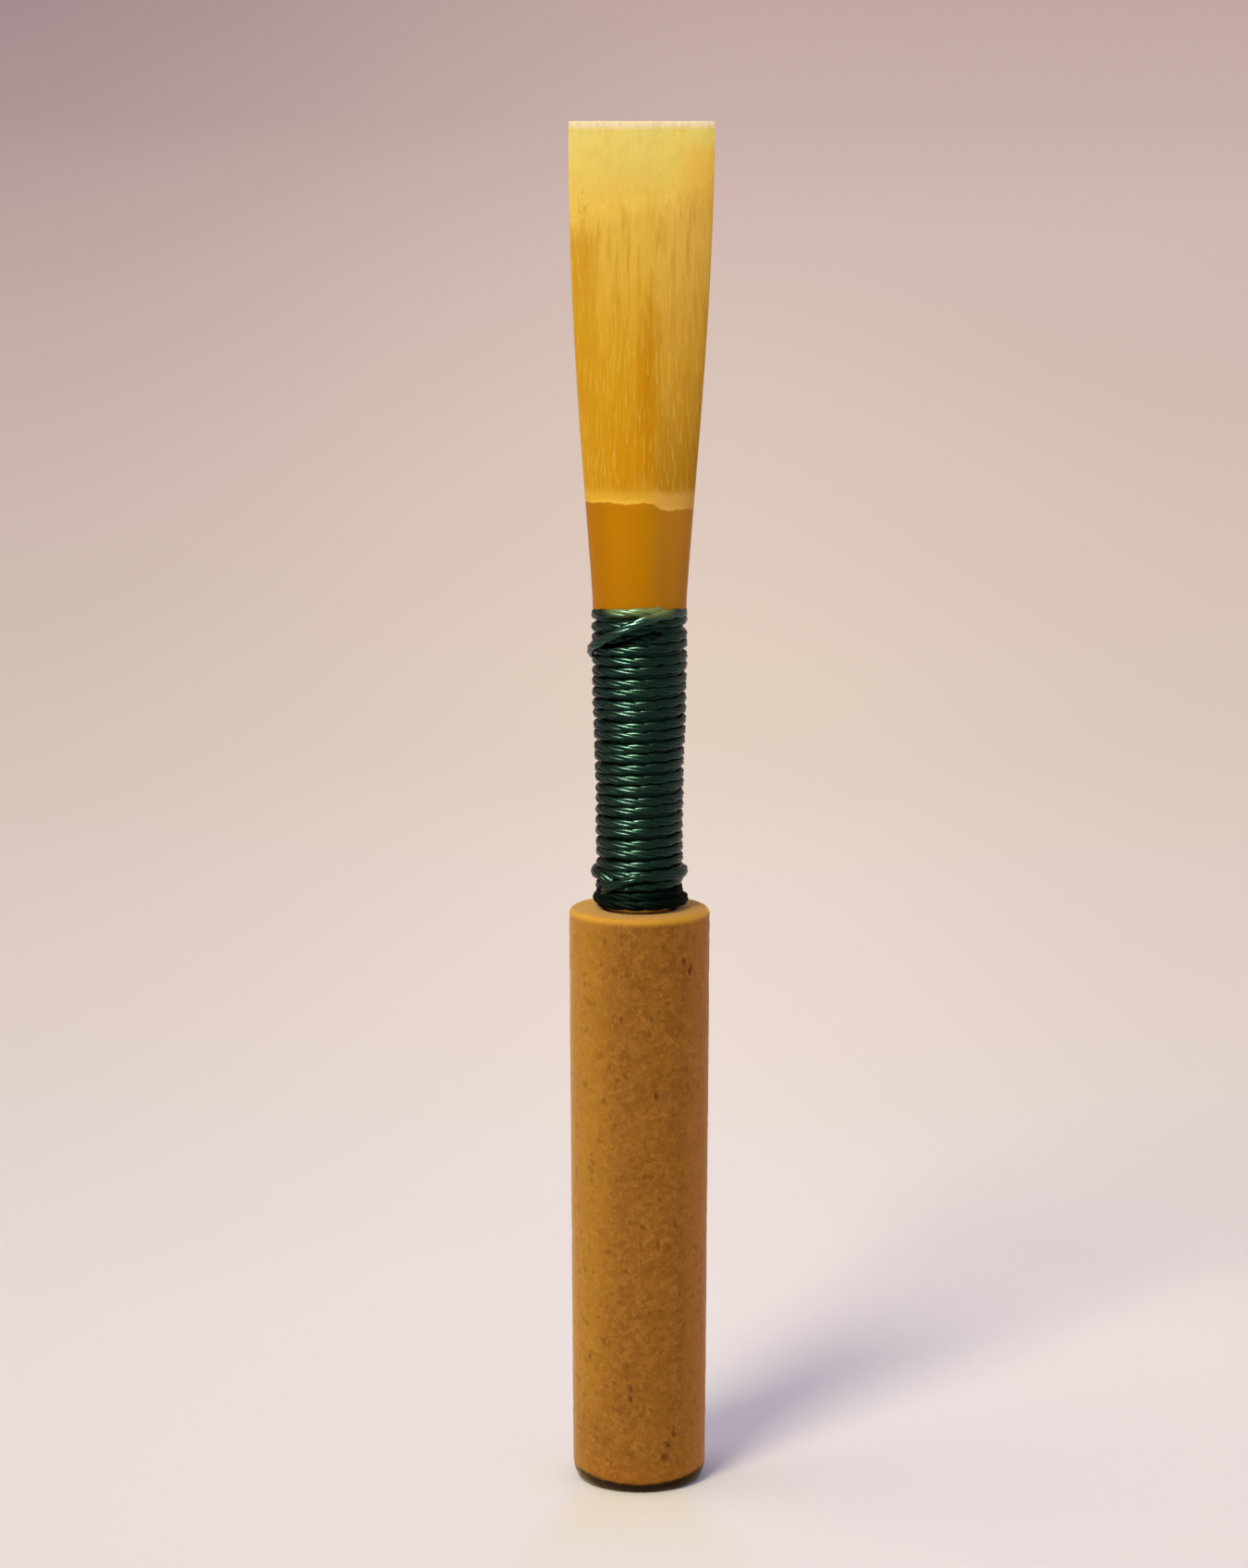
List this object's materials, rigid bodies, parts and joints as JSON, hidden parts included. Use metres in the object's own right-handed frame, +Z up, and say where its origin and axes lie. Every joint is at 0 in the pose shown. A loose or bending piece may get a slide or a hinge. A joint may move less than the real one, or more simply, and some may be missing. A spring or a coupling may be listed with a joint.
{
  "type": "oboe reed",
  "caption": "Double reed: scraped cane blades tied with thread to a tapered metal staple in a cork sleeve that plugs into the reed well.",
  "frame": {"origin": "middle of the cork's flat base, on the axis of the bore", "axes": "+Z up along the bore towards the tip, +X across the width of the blades, -Y out of the front blade"},
  "size_m": [0.0074, 0.0072, 0.07],
  "materials": {
    "staple_brass": "drawn brass tube, lightly tarnished",
    "glue": "dried contact glue",
    "cork": "sanded agglomerate cork with fine dark specks",
    "cane": "scraped cane with fine grain, smooth bark below",
    "thread": "dark green nylon, slight sheen"
  },
  "bodies": {
    "root": {"staple_tube": "staple_brass", "cork_glue_film": "glue", "cork_sleeve": "cork", "cane_blade_front": "cane", "cane_blade_back": "cane", "thread_underlayer": "thread", "thread_winding": "thread", "thread_crossover": "thread", "thread_hitch_upper": "thread", "thread_hitch_lower": "thread"}
  },
  "joints": []
}
